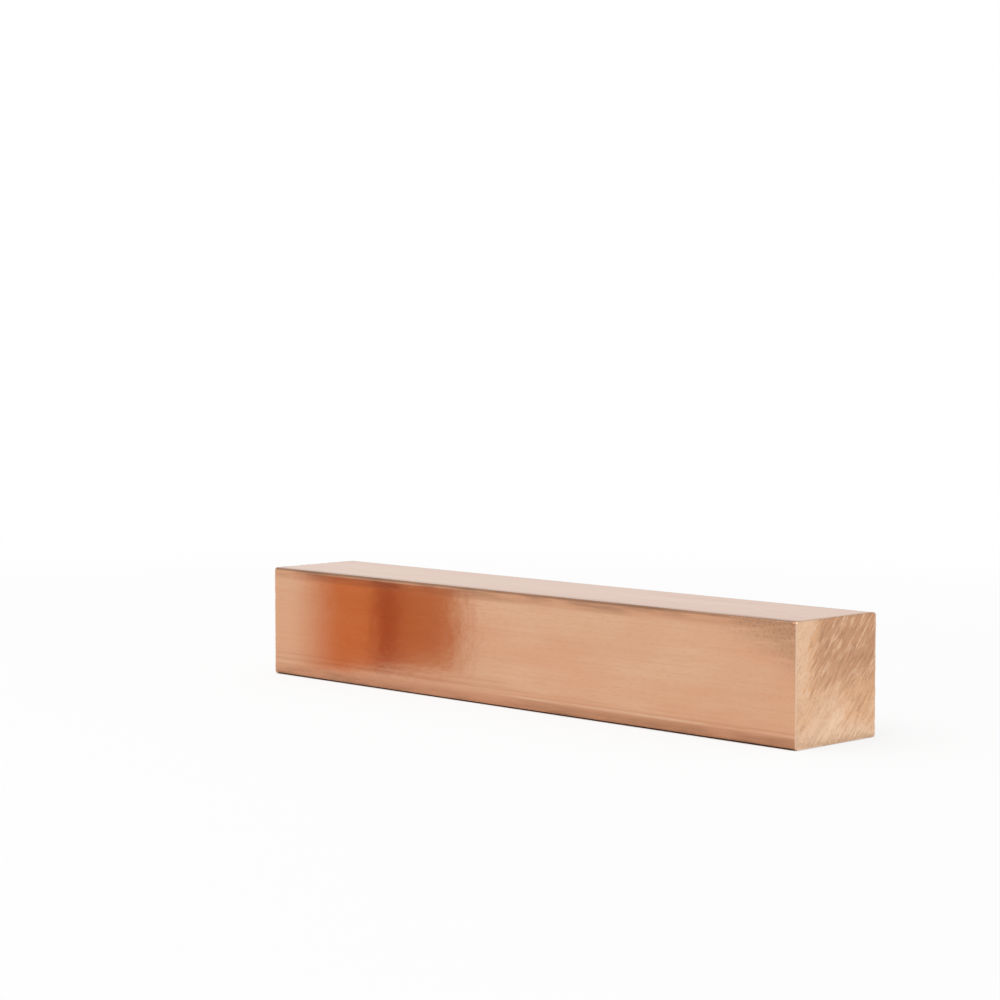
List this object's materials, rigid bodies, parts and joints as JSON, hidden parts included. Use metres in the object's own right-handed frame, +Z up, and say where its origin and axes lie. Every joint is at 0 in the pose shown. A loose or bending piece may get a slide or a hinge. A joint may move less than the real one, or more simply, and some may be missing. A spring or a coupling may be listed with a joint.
{
  "type": "copper ingot",
  "caption": "Copper ingot in the form of a solid square bar, drawn with narrow rounded long edges and sawn square at both ends; raw stock for melting or machining.",
  "frame": {"origin": "middle of the underside, on the floor that the bar lies on", "axes": "+X along the bar, from one sawn end to the other; +Y across it; +Z up"},
  "size_m": [0.25, 0.04, 0.04],
  "materials": {
    "copper": "bare drawn copper, satin, with fine lengthwise die lines and brown tarnish along the edges; sawn ends with slanting saw marks"
  },
  "bodies": {
    "root": {"copper_bar": "copper"}
  },
  "joints": []
}
